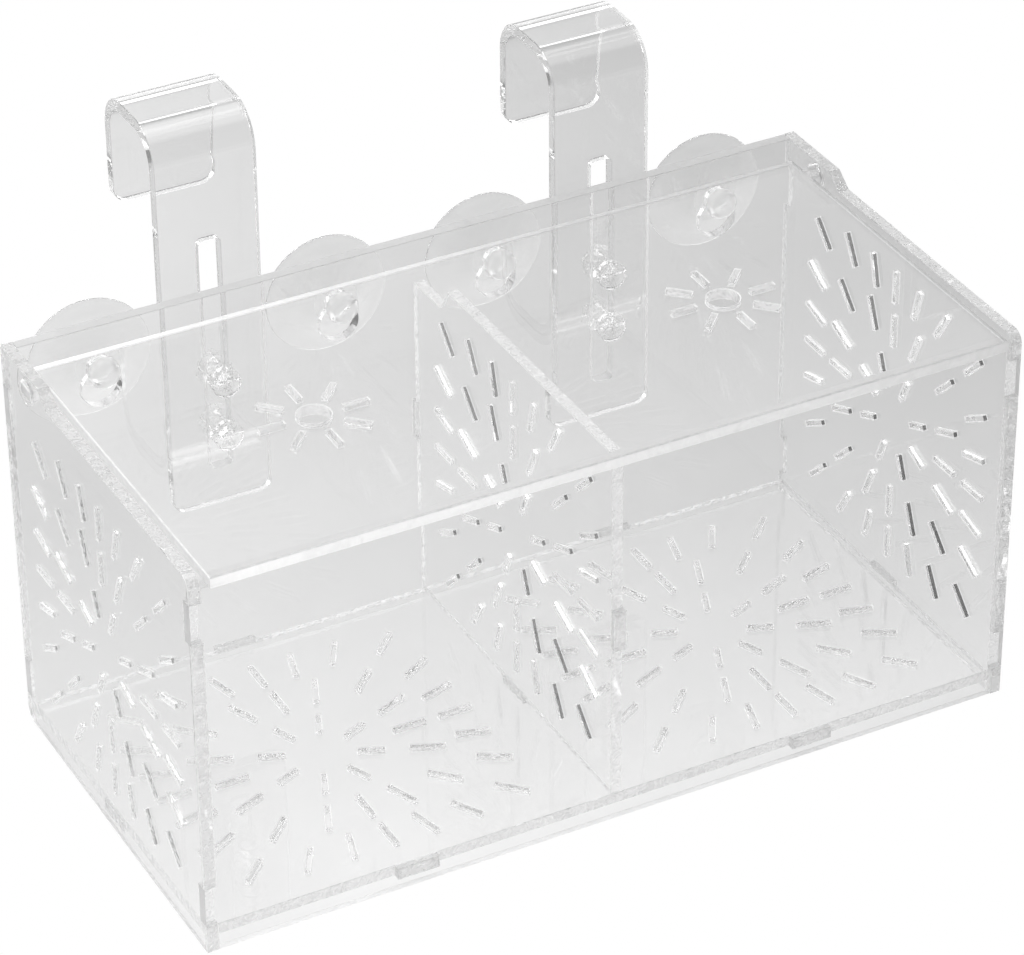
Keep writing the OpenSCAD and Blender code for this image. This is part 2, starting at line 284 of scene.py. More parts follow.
M_FACE = clear_sheet("acrylic_face", (0.987, 0.987, 0.987))
# Where an edge's shade is a pair, its whitish part is painted light: brighter at the box's left, where the light falls,
# and darker at its right.
M_EDGE = cut_edge("acrylic_cut_edge", (0.98, 0.98, 0.98), 0.62, 0.20, 0.03, 0.03, 480.0, None, (0.95, 0.73))
# the side sheets' top edges get a darker copy of the cut edge: painted shade, most of it at the box's left
M_TOP = cut_edge("acrylic_upper_cut_edge", (0.96, 0.96, 0.96), 0.66, 0.30, 0.04, 0.03, 480.0, None, (0.76, 0.71))
M_SLOT = cut_edge("acrylic_slot_wall", (0.95, 0.95, 0.95), 0.04, 0.04, 0.015, 0.015, 700.0)
M_FLOOR_SLOT = cut_edge("acrylic_floor_slot_wall", (0.93, 0.93, 0.93), 0.22, 0.20, 0.08, 0.03, 900.0, None, 0.8)
M_VENT = cut_edge("acrylic_vent_wall", (0.80, 0.80, 0.80), 0.65, 0.25, 0.03, 0.02, 160.0, None, 1.0)
M_SEAM = cut_edge("acrylic_cemented_seam", (0.98, 0.98, 0.98), 0.80, 0.20, 0.03, 0.04, 420.0, None, (0.94, 0.84), 0.8)
# the floor's front edge gets a darker copy of the cemented seam: painted shade
M_FLOOR_SEAM = cut_edge("acrylic_cemented_floor_seam", (0.96, 0.96, 0.96), 0.80, 0.20, 0.05, 0.04, 460.0, None, (0.82, 0.74), 0.8)
M_RIM = cut_edge("acrylic_melted_rim", (0.98, 0.98, 0.98), 0.92, 0.06, 0.03, 0.04, 420.0, None, (1.0, 0.74))
M_SLOT_RIM = cut_edge("acrylic_melted_slot_rim", (0.98, 0.98, 0.98), 0.92, 0.08, 0.03, 0.04, 420.0, None, 1.0)
M_PLAIN = cut_edge("acrylic_polished_edge", (0.98, 0.98, 0.98), 0.92, 0.04, 0.01, 0.03, 90.0, None, (0.74, 0.64))
M_LID_EDGE = cut_edge("acrylic_lid_edge", (0.98, 0.98, 0.98), 0.92, 0.06, 0.01, 0.03, 120.0, None, (1.0, 0.68), 0.9)
# rear edge of the lid: a glow painted on as emission, white at the box's left and fading out towards its right
M_LID_BACK = cut_edge("acrylic_lid_rear_edge", (0.98, 0.98, 0.98), 0.92, 0.06, 0.01, 0.03, 120.0, None, (1.0, 0.66), 0.9, (0.20, 0.01))
# the side sheets' bottom edges get a darker copy of the cut edge: painted shade along the foot of the box
M_SIDE_FOOT = cut_edge("acrylic_side_foot_edge", (0.98, 0.98, 0.98), 0.80, 0.20, 0.02, 0.03, 240.0, None, 0.70)
M_BENT = cut_edge("acrylic_flamed_edge", (0.92, 0.92, 0.92), 0.15, 0.04, 0.004, 0.02, 90.0, None, 0.75)
# the left side sheet's water slots get a whiter copy of the slot wall: painted light on the side where the light falls
M_SLOT_LEFT = cut_edge("acrylic_slot_wall_painted_light", (0.96, 0.96, 0.96), 0.68, 0.30, 0.03, 0.02, 620.0, None, 0.95)
# the front and back sheets' bottom edges get a brighter copy: painted light, as from the glowing table beneath,
# brighter at the box's left
M_FOOT = cut_edge("acrylic_foot_edge", (0.98, 0.98, 0.98), 0.92, 0.05, 0.01, 0.03, 200.0, None, (0.93, 0.74))
M_CUP = soft_clear("soft_pvc", (0.985, 0.985, 0.985), 0.01, 0.02, 1.34, 0.92, 0.14)
M_HEAD = soft_clear("soft_pvc_solid_part", (0.93, 0.93, 0.93), 0.03, 0.02, 1.22, 0.9, 0.34)
M_SCREW = soft_clear("clear_nylon", (0.99, 0.99, 0.99), 0.015, 0.12, 1.16, 0.92, 0.03, 900.0, 0.65)


# ------------------------------------------------------------------ flat sheets from outlines
def area2(p):
    return sum(p[i][0] * p[(i + 1) % len(p)][1] - p[(i + 1) % len(p)][0] * p[i][1] for i in range(len(p)))


def offset_loop(p, d):
    """Loop p (counter-clockwise = solid inside) moved by d into the solid, mitred."""
    out, n = [], len(p)
    for i in range(n):
        a, b, c = Vector(p[i - 1]), Vector(p[i]), Vector(p[(i + 1) % n])
        e1, e2 = (b - a).normalized(), (c - b).normalized()
        n1, n2 = Vector((-e1.y, e1.x)), Vector((-e2.y, e2.x))
        m = n1 + n2
        k = m.length_squared
        m = m * (2.0 / k) if k > 1e-9 else n1
        if m.length > 2.5:
            m = m.normalized() * 2.5
        q = b + m * d
        out.append((q.x, q.y))
    return out


def circle(cx, cy, r, n=32, a0=0.0, a1=360.0):
    full = abs(a1 - a0) >= 360
    k = n if full else n + 1
    return [(cx + r * math.cos(math.radians(a0 + (a1 - a0) * i / n)), cy + r * math.sin(math.radians(a0 + (a1 - a0) * i / n))) for i in range(k)]


def rect(cx, cy, l, w, ang=0.0):
    c, s = math.cos(math.radians(ang)), math.sin(math.radians(ang))
    return [(cx + x * c - y * s, cy + x * s + y * c) for x, y in ((-l / 2, -w / 2), (l / 2, -w / 2), (l / 2, w / 2), (-l / 2, w / 2))]


def rot_rect(cx, cy, r, ang, l, w):
    a = math.radians(ang)
    return rect(cx + r * math.cos(a), cy + r * math.sin(a), l, w, ang)


def ring(h, a, p):
    a = math.radians(a)
    return h / (abs(math.cos(a)) ** p + abs(math.sin(a)) ** p) ** (1 / p)


def burst(cx, cy):
    out = [rot_rect(cx, cy, 11.2, 22.5 + 45 * k, 6.0, SLIT) for k in range(8)]
    out += [rot_rect(cx, cy, ring(22, 22.5 * k, 10), 22.5 * k, 8.0, SLIT) for k in range(16)]
    out += [rot_rect(cx, cy, ring(33.5, 15 * k, 11), 15 * k, 8.0, SLIT) for k in range(24)]
    return out


def inside(q, loop):
    """True when point q lies inside the closed loop."""
    n, odd = len(loop), False
    for i in range(n):
        (x1, y1), (x2, y2) = loop[i - 1], loop[i]
        if (y1 > q.y) != (y2 > q.y) and q.x < x1 + (q.y - y1) * (x2 - x1) / (y2 - y1):
            odd = not odd
    return odd


def solid_sheet(outer, holes, slots=(), t=T, bev=BEV, seam=None, hole_mat=2, foot=False):
    """bmesh of a sheet, outline in (u, v), thickness along w from 0 to t. Material 0 = faces, 1 = cut edge, 2 = slot wall, 3 = cemented seam, 4 = melted rim of an outer edge, 5 = melted rim of a water slot.
    seam(u0, v0, u1, v1) is True for an outer edge that is cemented to another sheet, or the index of its own material."""
    if area2(outer) < 0:
        outer = outer[::-1]
    first_slot = 1 + len(holes)
    holes = [h if area2(h) < 0 else h[::-1] for h in list(holes) + list(slots)]   # clockwise, so that the solid is on the left
    loops = [outer] + holes
    bevs = [bev if li < first_slot else SLOT_BEV for li in range(len(loops))]
    bm = bmesh.new()
    rings = []
    for li, lp in enumerate(loops):
        bv = bevs[li]
        inn = offset_loop(lp, bv)
        levels = [(inn, 0.0), (lp, bv), (lp, t - bv), (inn, t)]
        rings.append([[bm.verts.new((x, y, w)) for x, y in pts] for pts, w in levels])
    # walls
    for li, (lp, rg) in enumerate(zip(loops, rings)):
        n = len(lp)
        for k in range(3):
            for i in range(n):
                j = (i + 1) % n
                f = bm.faces.new((rg[k][i], rg[k][j], rg[k + 1][j], rg[k + 1][i]))
                if li == 0:
                    cem = seam is not None and seam(*lp[i], *lp[j])
                    f.material_index = (3 if cem is True else cem) if cem else (1 if k == 1 else 4)
                    if foot and lp[i][1] < 0.01 and lp[j][1] < 0.01:
                        f.material_index = 5 if foot is True else foot
                elif li < first_slot:
                    f.material_index = hole_mat if isinstance(hole_mat, int) else hole_mat[li - 1]
                else:
                    f.material_index = 2 if k == 1 else 5
                f.smooth = False
    # caps, constrained triangulation of the inset loops with the holes left out
    pts, edges, starts = [], [], []
    for lp, bv in zip(loops, bevs):
        starts.append(len(pts))
        inn = offset_loop(lp, bv)
        s = len(pts)
        pts += [Vector(q) for q in inn]
        edges += [(s + i, s + (i + 1) % len(inn)) for i in range(len(inn))]
    vs, es, fs, ov, oe, of_ = geometry.delaunay_2d_cdt(pts, edges, [], 0, 1e-6)
    flat = [v for rg in rings for v in rg[0]]
    top = [v for rg in rings for v in rg[3]]
    src = [o[0] if o else None for o in ov]
    borders = [[(q.x, q.y) for q in pts[i:j]] for i, j in zip(starts, starts[1:] + [len(pts)])]
    for f in fs:
        a, b, c = (vs[i] for i in f)
        mid = (a + b + c) / 3
        if not inside(mid, borders[0]) or any(inside(mid, h) for h in borders[1:]):
            continue
        ids = [src[i] for i in f]
        if None in ids:
            raise RuntimeError("outline crosses itself")
        ids = ids if (b - a).cross(c - a) > 0 else ids[::-1]
        bm.faces.new([top[i] for i in ids]).material_index = 0
        bm.faces.new([flat[i] for i in reversed(ids)]).material_index = 0
    bm.normal_update()
    return bm


def finish_piece(bm, name, body, nodes, mats, remap, smooth_angle=None):
    """Places the solid by remap(u, v, w) -> box-frame mm, and makes it a piece that stands for its CAD node."""
    for v in bm.verts:
        v.co = pos(*remap(*v.co))
    bmesh.ops.recalc_face_normals(bm, faces=bm.faces)
    if bm.calc_volume(signed=True) < 0:
        bmesh.ops.reverse_faces(bm, faces=bm.faces)
    me = bpy.data.meshes.new(name)
    bm.to_mesh(me)
    bm.free()
    for m in mats:
        me.materials.append(m)
    ob = bpy.data.objects.new(name, me)
    bpy.context.scene.collection.objects.link(ob)
    if smooth_angle is not None:
        me.set_sharp_from_angle(angle=math.radians(smooth_angle))
    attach(ob, body)
    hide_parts(*nodes)
    return ob


SHEET_MATS = [M_FACE, M_EDGE, M_SLOT, M_SEAM, M_RIM, M_SLOT_RIM, M_SIDE_FOOT, M_TOP]
FLOOR_MATS = [M_FACE, M_EDGE, M_FLOOR_SLOT, M_SEAM, M_RIM, M_SLOT_RIM, M_FLOOR_SEAM]
BENT_MATS = [M_FACE, M_BENT]
PLAIN_MATS = [M_FACE, M_PLAIN, M_SLOT, M_SEAM, M_PLAIN, M_FOOT]
LEFT_MATS = [M_FACE, M_EDGE, M_SLOT_LEFT, M_SEAM, M_RIM, M_SLOT_RIM, M_SIDE_FOOT, M_TOP]
LID_MATS = [M_FACE, M_LID_EDGE, M_VENT, M_LID_BACK, M_RIM, M_SLOT_RIM]


def upright_xz(y):
    return lambda u, v, w: (u, y + T - w, v)


def upright_yz(x):
    return lambda u, v, w: (x + w, u, v)


def flat_xy(z):
    return lambda u, v, w: (u, v, z + w)


def trim(outline, d):
    """Leaves a hair's gap all round, so that two cemented sheets don't share a face."""
    o = outline if area2(outline) > 0 else outline[::-1]
    return offset_loop(o, d)


def grow(hole, d):
    h = hole if area2(hole) < 0 else hole[::-1]
    return offset_loop(h, d)


# side panels -------------------------------------------------------
def side_outline():
    r = 3.0
    p = [(0, 0)]
    p += [(D - r, 0)] + circle(D - r, r, r, 8, -90, 0)[1:]
    for z in (TAB_LOW, TAB_HIGH):
        p += [(D, z), (IN_Y, z), (IN_Y, z + TAB), (D, z + TAB)]
    p += [(D, BACK_H), (EAR_Y + EAR_D, BACK_H), (EAR_Y, SIDE_H)]
    p += circle(r, SIDE_H - r, r, 8, 90, 180)
    for z in (TAB_HIGH, TAB_LOW):
        p += [(0, z + TAB), (T, z + TAB), (T, z), (0, z)]
    return p


def near(a, b, e=0.2):
    return abs(a - b) < e


def side_seam(u0, v0, u1, v1):
    # walls of the notches that hold the corner tabs
    um, vm = (u0 + u1) / 2, (v0 + v1) / 2
    return (near(um, T) or near(um, IN_Y) or ((um < T + 0.2 or um > IN_Y - 0.2) and v0 == v1 and TAB_LOW - 1 < vm < TAB_HIGH + TAB + 1))


def ear_hole():
    return circle(PIVOT_Y, PIVOT_Z, EAR_R, 40)


for name, x in (("left_side_panel", -W / 2), ("right_side_panel", IN_X)):
    holes = [rect(MID_Y, FLOOR_Z + T / 2, TAB, T), ear_hole()]
    bm = solid_sheet(trim(side_outline(), 0.0), holes, burst(BURST_Y, BURST_Z), seam=lambda *a: side_seam(*a) or (7 if min(a[1], a[3]) > SIDE_H - 0.2 else False), hole_mat=3, foot=6)
    finish_piece(bm, name + "_sheet", "box", [name], LEFT_MATS if x < 0 else SHEET_MATS, upright_yz(x))


# front and back panels --------------------------------------------
def end_outline(h):
    g = GAP
    x1, x2 = IN_X - g, W / 2
    right = [(x1, 0)]
    for z in (TAB_LOW, TAB_HIGH):
        right += [(x1, z + g), (x2, z + g), (x2, z + TAB - g), (x1, z + TAB - g)]
    right += [(x1, h)]
    return right + [(-x, z) for x, z in reversed(right)]


def end_seam(u0, v0, u1, v1):
    return u0 * u1 > 0 and abs(u0) > IN_X - 1 and abs(u1) > IN_X - 1 and not (near(abs(u0), W / 2) and near(abs(u1), W / 2))


def keyhole(cx, cz):
    w = KEY_W / 2
    a = math.degrees(math.asin(w / KEY_R))
    top = circle(cx, cz, w, 16, 0, 180)
    low = circle(cx, cz - KEY_DROP, KEY_R, 28, 90 + a, 450 - a)
    return top + low


tab_holes = [rect(s * FLOOR_TAB_X, FLOOR_Z + T / 2, TAB, T) for s in (-1, 1)] + [rect(0, HUB_Z, T, TAB)]
bm = solid_sheet(end_outline(FRONT_H), tab_holes, seam=end_seam, hole_mat=3, foot=True)
finish_piece(bm, "front_sheet", "box", ["front_panel"], PLAIN_MATS, upright_xz(0))
CUPS = {"outer_left": -78.0, "inner_left": -20.0, "inner_right": 20.0, "outer_right": 78.0}
back_holes = [keyhole(x, CUP_Z) for x in CUPS.values()]
back_holes += [circle(s * HANGER_X, SCREW_Z - k * SCREW_GAP, SCREW_D / 2 + 0.05, 28) for s in (-1, 1) for k in (0, 1)]
bm = solid_sheet(end_outline(BACK_H), tab_holes + back_holes, seam=end_seam, hole_mat=[3] * len(tab_holes) + [2] * len(back_holes), foot=True)
finish_piece(bm, "back_sheet", "box", ["back_panel"], PLAIN_MATS, upright_xz(IN_Y))


# floor -------------------------------------------------------------
def floor_outline():
    g, x1, y1, y2 = GAP, IN_X - GAP, T + GAP, IN_Y - GAP
    p = []
    for s in (-1, 1):
        c = s * FLOOR_TAB_X
        p += [(c - TAB / 2 + g, y1), (c - TAB / 2 + g, 0), (c + TAB / 2 - g, 0), (c + TAB / 2 - g, y1)]
    p = [(-x1, y1)] + p + [(x1, y1)]
    p += [(x1, MID_Y - TAB / 2 + g), (W / 2, MID_Y - TAB / 2 + g), (W / 2, MID_Y + TAB / 2 - g), (x1, MID_Y + TAB / 2 - g), (x1, y2)]
    for s in (1, -1):
        c = s * FLOOR_TAB_X
        p += [(c + TAB / 2 - g, y2), (c + TAB / 2 - g, D), (c - TAB / 2 + g, D), (c - TAB / 2 + g, y2)]
    p += [(-x1, y2), (-x1, MID_Y + TAB / 2 - g), (-W / 2, MID_Y + TAB / 2 - g), (-W / 2, MID_Y - TAB / 2 + g), (-x1, MID_Y - TAB / 2 + g)]
    return p


bm = solid_sheet(floor_outline(), [rect(0, MID_Y, T, TAB)], burst(-BURST_X, BURST_Y) + burst(BURST_X, BURST_Y), seam=lambda *a: 6 if max(a[1], a[3]) < T + 0.3 else True, hole_mat=3)
finish_piece(bm, "floor_sheet", "box", ["floor_panel"], FLOOR_MATS, flat_xy(FLOOR_Z))


# divider -----------------------------------------------------------
def divider_outline():
    g = GAP
    y1, y2, z1 = T + g, IN_Y - g, FLOOR_TOP + g
    p = [(y1, z1), (MID_Y - TAB / 2 + g, z1), (MID_Y - TAB / 2 + g, FLOOR_Z), (MID_Y + TAB / 2 - g, FLOOR_Z), (MID_Y + TAB / 2 - g, z1), (y2, z1)]
    p += [(y2, HUB_Z - TAB / 2 + g), (D, HUB_Z - TAB / 2 + g), (D, HUB_Z + TAB / 2 - g), (y2, HUB_Z + TAB / 2 - g)]
    p += [(y2, RELIEF_Z), (RELIEF_Y, RELIEF_Z), (RELIEF_Y - 4, FRONT_H), (y1, FRONT_H)]
    p += [(y1, HUB_Z + TAB / 2 - g), (0, HUB_Z + TAB / 2 - g), (0, HUB_Z - TAB / 2 + g), (y1, HUB_Z - TAB / 2 + g)]
    return p


def divider_seam(u0, v0, u1, v1):
    return (u0 < T + 1 and u1 < T + 1) or (u0 > IN_Y - 1 and u1 > IN_Y - 1) or (v0 < FLOOR_TOP + 1 and v1 < FLOOR_TOP + 1)


bm = solid_sheet(divider_outline(), [], burst(BURST_Y, BURST_Z), t=T - 2 * GAP, seam=divider_seam)
finish_piece(bm, "divider_sheet", "box", ["divider_panel"], SHEET_MATS, lambda u, v, w: (-T / 2 + GAP + w, u, v))


# lid ---------------------------------------------------------------
def vent(cx, cy):
    return [circle(cx, cy, 3.8, 40)] + [rot_rect(cx, cy, 10.0, 45 * k, 5.8, 1.2) for k in range(8)]


lx = IN_X - SIDE_GAP
lid_out = [(-lx, -OVERHANG), (lx, -OVERHANG), (lx, PIVOT_Y - HINGE_TAB / 2), (W / 2, PIVOT_Y - HINGE_TAB / 2),
           (W / 2, PIVOT_Y + HINGE_TAB / 2), (lx, PIVOT_Y + HINGE_TAB / 2), (lx, PIVOT_Y + LID_TAIL),
           (-lx, PIVOT_Y + LID_TAIL), (-lx, PIVOT_Y + HINGE_TAB / 2), (-W / 2, PIVOT_Y + HINGE_TAB / 2),
           (-W / 2, PIVOT_Y - HINGE_TAB / 2), (-lx, PIVOT_Y - HINGE_TAB / 2)]
bm = solid_sheet(lid_out, [], vent(-50.2, 44.3) + vent(50.2, 44.3), bev=0.28, seam=lambda u0, v0, u1, v1: min(v0, v1) > PIVOT_Y + HINGE_TAB / 2 + 0.1)
finish_piece(bm, "lid_sheet", "lid", ["lid"], LID_MATS, flat_xy(LID_Z))


# hangers: a flat strip with its slot, then bent -----------------------------------------
def strip_length():
    q = math.pi / 2
    leg = HANGER_H - R1
    a1 = (R1 - T / 2) * q
    flat = HOOK_D - R1 - R2
    a2 = (R2 - T / 2) * q
    lip = HOOK_LIP - R2
    return leg, a1, flat, a2, lip


LEG, A1, FLAT, A2, LIP = strip_length()


def bend(s, w):
    """Length s along the strip's middle from its bottom, depth w from the outer face -> (y, z) from the hanger's front top corner."""
    if s <= LEG:
        return (w, -HANGER_H + s)
    s -= LEG
    if s <= A1:
        a = s / (R1 - T / 2)
        r = R1 - w
        return (R1 - r * math.cos(a), -R1 + r * math.sin(a))
    s -= A1
    if s <= FLAT:
        return (R1 + s, -w)
    s -= FLAT
    if s <= A2:
        a = s / (R2 - T / 2)
        r = R2 - w
        return (HOOK_D - R2 + r * math.sin(a), -R2 + r * math.cos(a))
    s -= A2
    return (HOOK_D - w, -R2 - s)


def strip_outline():
    h, total = HANGER_W / 2, LEG + A1 + FLAT + A2 + LIP
    p = circle(h - 3, 3, 3, 8, -90, 0)
    p += circle(h - 3.5, total - 3.5, 3.5, 8, 0, 90)
    p += circle(-h + 3.5, total - 3.5, 3.5, 8, 90, 180)
    p += circle(-h + 3, 3, 3, 8, 180, 270)
    return p


def slot_hole():
    z1 = HANGER_H - SLOT_TOP
    z0, r, w = z1 - SLOT_L, 1.2, SLOT_W / 2
    return (circle(w - r, z0 + r, r, 6, -90, 0) + circle(w - r, z1 - r, r, 6, 0, 90)
            + circle(-w + r, z1 - r, r, 6, 90, 180) + circle(-w + r, z0 + r, r, 6, 180, 270))


for side, sx in (("left", -1), ("right", 1)):
    bm = solid_sheet(strip_outline(), [slot_hole()], hole_mat=1)
    cuts = [LEG + A1 * i / 14 for i in range(15)] + [LEG + A1 + FLAT + A2 * i / 16 for i in range(17)]
    for s in cuts:
        bmesh.ops.bisect_plane(bm, geom=bm.verts[:] + bm.edges[:] + bm.faces[:], dist=1e-5, plane_co=(0, s, 0), plane_no=(0, 1, 0))
    top = TOPS[side]

    def place(u, v, w, sx=sx, top=top):
        y, z = bend(v, w)
        return (sx * HANGER_X - PLAY + u, D + 0.03 + y, top + z)

    for f in bm.faces:
        f.smooth = True
        f.material_index = min(f.material_index, 1)
    finish_piece(bm, side + "_hanger_strip", side + "_hanger", [side + "_hanger"], BENT_MATS, place, smooth_angle=25)


# suction cups ------------------------------------------------------
def spline(points, n):
    """Catmull-Rom through the points."""
    out = []
    P = [Vector(p) for p in points]
    P = [P[0] * 2 - P[1]] + P + [P[-1] * 2 - P[-2]]
    for i in range(1, len(P) - 2):
        for k in range(n):
            t = k / n
            a, b, c, d = P[i - 1], P[i], P[i + 1], P[i + 2]
            out.append(0.5 * ((2 * b) + (c - a) * t + (2 * a - 5 * b + 4 * c - d) * t * t + (3 * b - a - 3 * c + d) * t ** 3))
    out.append(P[-2])
    return [(p.x, p.y) for p in out]


def lathe(profile, seg):
    """Closed body of revolution about w; profile is (radius, w) from the axis back to the axis."""
    bm = bmesh.new()
    rings = []
    for r, w in profile:
        if r < 1e-6:
            rings.append([bm.verts.new((0, 0, w))])
        else:
            rings.append([bm.verts.new((r * math.cos(2 * math.pi * i / seg), r * math.sin(2 * math.pi * i / seg), w)) for i in range(seg)])
    for a, b in zip(rings, rings[1:]):
        for i in range(seg):
            j = (i + 1) % seg
            if len(a) == 1:
                bm.faces.new((a[0], b[i], b[j]))
            elif len(b) == 1:
                bm.faces.new((a[i], b[0], a[j]))
            else:
                bm.faces.new((a[i], b[i], b[j], a[j]))
    for f in bm.faces:
        f.smooth = True
    return bm


h = HEAD_R
head = [(0, -T - 3.6), (h * 0.35, -T - 3.58), (h - 1.1, -T - 3.4), (h - 0.3, -T - 2.9), (h, -T - 2.0), (h - 0.05, -T - 1.0), (h - 0.5, -T - 0.3), (NECK_R + 0.25, -T - 0.08)]
neck = [(NECK_R - 0.02, -T + 0.3), (NECK_R - 0.05, -T / 2), (NECK_R - 0.02, -0.2), (NECK_R + 0.6, 0.06)]
outer = [(5.4, 0.08), (6.2, 0.55), (7.2, 1.35), (9.0, 2.3), (11.0, 3.35), (13.0, 4.3), (14.5, 4.85), (15.0, 5.1)]
rim = [(15.0, 5.35), (14.8, 5.58), (14.2, 5.6)]
inner = [(13.2, 5.2), (11.0, 4.55), (8.5, 3.95), (6.0, 3.55), (3.0, 3.3), (1.2, 3.22), (0, 3.2)]
prof = spline(head, 3)[:-1] + spline(neck, 3)[:-1] + spline(outer, 4)[:-1] + spline(rim, 3)[:-1] + spline(inner, 4)
prof = [(max(r, 0.0) if i not in (0, len(prof) - 1) else 0.0, w) for i, (r, w) in enumerate(prof)]
for key, cx in CUPS.items():
    bm = lathe(prof, 96)
    for f in bm.faces:
        f.material_index = 1 if f.calc_center_median().z < 0.07 else 0
    finish_piece(bm, key + "_cup_soft", key + "_cup", [key + "_suction_cup"], [M_CUP, M_HEAD],
                 lambda u, v, w, cx=cx: (cx + u, D + w, CUP_Z + v), smooth_angle=50)


# screws and nuts ---------------------------------------------------
def screw_mesh():
    """Cheese head with a driver slot, and a shank with real thread grooves."""
    L = 2 * T + 0.05 + NUT_H + 1.6
    prof = [(0, -2.6), (HEAD_D / 2 - 0.4, -2.6), (HEAD_D / 2 - 0.1, -2.45), (HEAD_D / 2, -2.2), (HEAD_D / 2, -0.2), (HEAD_D / 2 - 0.15, 0.03), (SCREW_D / 2 - 0.02, 0.03)]
    pitch, z = 0.7, 0.35
    while z < L - 0.7:
        prof += [(SCREW_D / 2 - 0.02, z), (SCREW_D / 2 - 0.34, z + 0.28), (SCREW_D / 2 - 0.34, z + 0.36), (SCREW_D / 2 - 0.02, z + 0.62)]
        z += pitch
    prof += [(SCREW_D / 2 - 0.05, L - 0.3), (SCREW_D / 2 - 0.35, L), (0, L)]
    return lathe(prof, 48)


def cut_slot(ob):
    """Driver slot across the head, cut with an exact boolean and applied."""
    cutter = bpy.data.meshes.new("cutter")
    bmc = bmesh.new()
    bmesh.ops.create_cube(bmc, size=1.0)
    lo, hi = Vector(ob.bound_box[0]), Vector(ob.bound_box[6])
    c = (lo + hi) / 2
    for v in bmc.verts:
        v.co = Vector((c.x + v.co.x * 0.012, lo.y + v.co.y * 0.0024, c.z + v.co.z * 0.001))
    bmc.to_mesh(cutter)
    bmc.free()
    oc = bpy.data.objects.new("cutter", cutter)
    bpy.context.scene.collection.objects.link(oc)
    mod = ob.modifiers.new("slot", "BOOLEAN")
    mod.object, mod.operation, mod.solver = oc, "DIFFERENCE", "EXACT"
    dg = bpy.context.evaluated_depsgraph_get()
    me = bpy.data.meshes.new_from_object(ob.evaluated_get(dg))
    ob.modifiers.clear()
    ob.data = me
    bpy.data.objects.remove(oc)
    me.set_sharp_from_angle(angle=math.radians(35))


def nut_mesh():
    """Hexagon nut with chamfered corners and a threaded bore."""
    bm = bmesh.new()
    n = 48
    af = NUT_AF / 2

    def hexr(a):
        k = math.radians(((a + 30) % 60) - 30)
        return af / math.cos(k)

    cols = []
    for i in range(n):
        a = 360 * i / n
        ca, sa = math.cos(math.radians(a)), math.sin(math.radians(a))
        hr = hexr(a)
        pts = [(SCREW_D / 2 + 0.35, 0.0), (min(hr, af + 0.12), 0.0), (hr, max(0.0, (hr - af - 0.12)) * 0.6), (hr, NUT_H - max(0.0, (hr - af - 0.12)) * 0.6), (min(hr, af + 0.12), NUT_H), (SCREW_D / 2 + 0.35, NUT_H)]
        z = NUT_H - 0.3
        while z > 0.4:
            pts += [(SCREW_D / 2 + 0.02, z), (SCREW_D / 2 + 0.3, z - 0.35)]
            z -= 0.7
        pts.append((SCREW_D / 2 + 0.02, 0.3))
        cols.append([bm.verts.new((r * ca, r * sa, w)) for r, w in pts])
    for i in range(n):
        a, b = cols[i], cols[(i + 1) % n]
        m = len(a)
        for k in range(m):
            l = (k + 1) % m
            bm.faces.new((a[k], b[k], b[l], a[l]))
    bmesh.ops.remove_doubles(bm, verts=bm.verts, dist=1e-4)
    bmesh.ops.dissolve_degenerate(bm, edges=bm.edges, dist=1e-4)
    return bm


for side, sx in (("left", -1), ("right", 1)):
    for k, lvl in enumerate(("upper", "lower")):
        z = SCREW_Z - k * SCREW_GAP
        turn = math.radians({("left", 0): 24, ("left", 1): 70, ("right", 0): 5, ("right", 1): -35}[(side, k)])

        def at(u, v, w, sx=sx, z=z, turn=turn):
            c, s = math.cos(turn), math.sin(turn)
            return (sx * HANGER_X + u * c - v * s, IN_Y + w, z + u * s + v * c)

        ob = finish_piece(screw_mesh(), f"{side}_{lvl}_screw_clear", "box", [f"{side}_{lvl}_screw"], [M_SCREW], at, smooth_angle=35)
        cut_slot(ob)

        def at2(u, v, w, sx=sx, z=z, turn=turn * 2):
            c, s = math.cos(turn), math.sin(turn)
            return (sx * HANGER_X + u * c - v * s, D + T + 0.06 + w, z + u * s + v * c)

        finish_piece(nut_mesh(), f"{side}_{lvl}_nut_clear", "box", [f"{side}_{lvl}_nut"], [M_SCREW], at2)


# ------------------------------------------------------------------ stage: floor, light, camera
TABLE = {"glow": 0.735, "x": -0.95, "front": 1.25, "dip": 0.072, "back": 0.095, "left": 0.075, "lo": 0.50, "hi": 1.02, "paint": 0.04, "dark": 0.70, "far": 0.6}


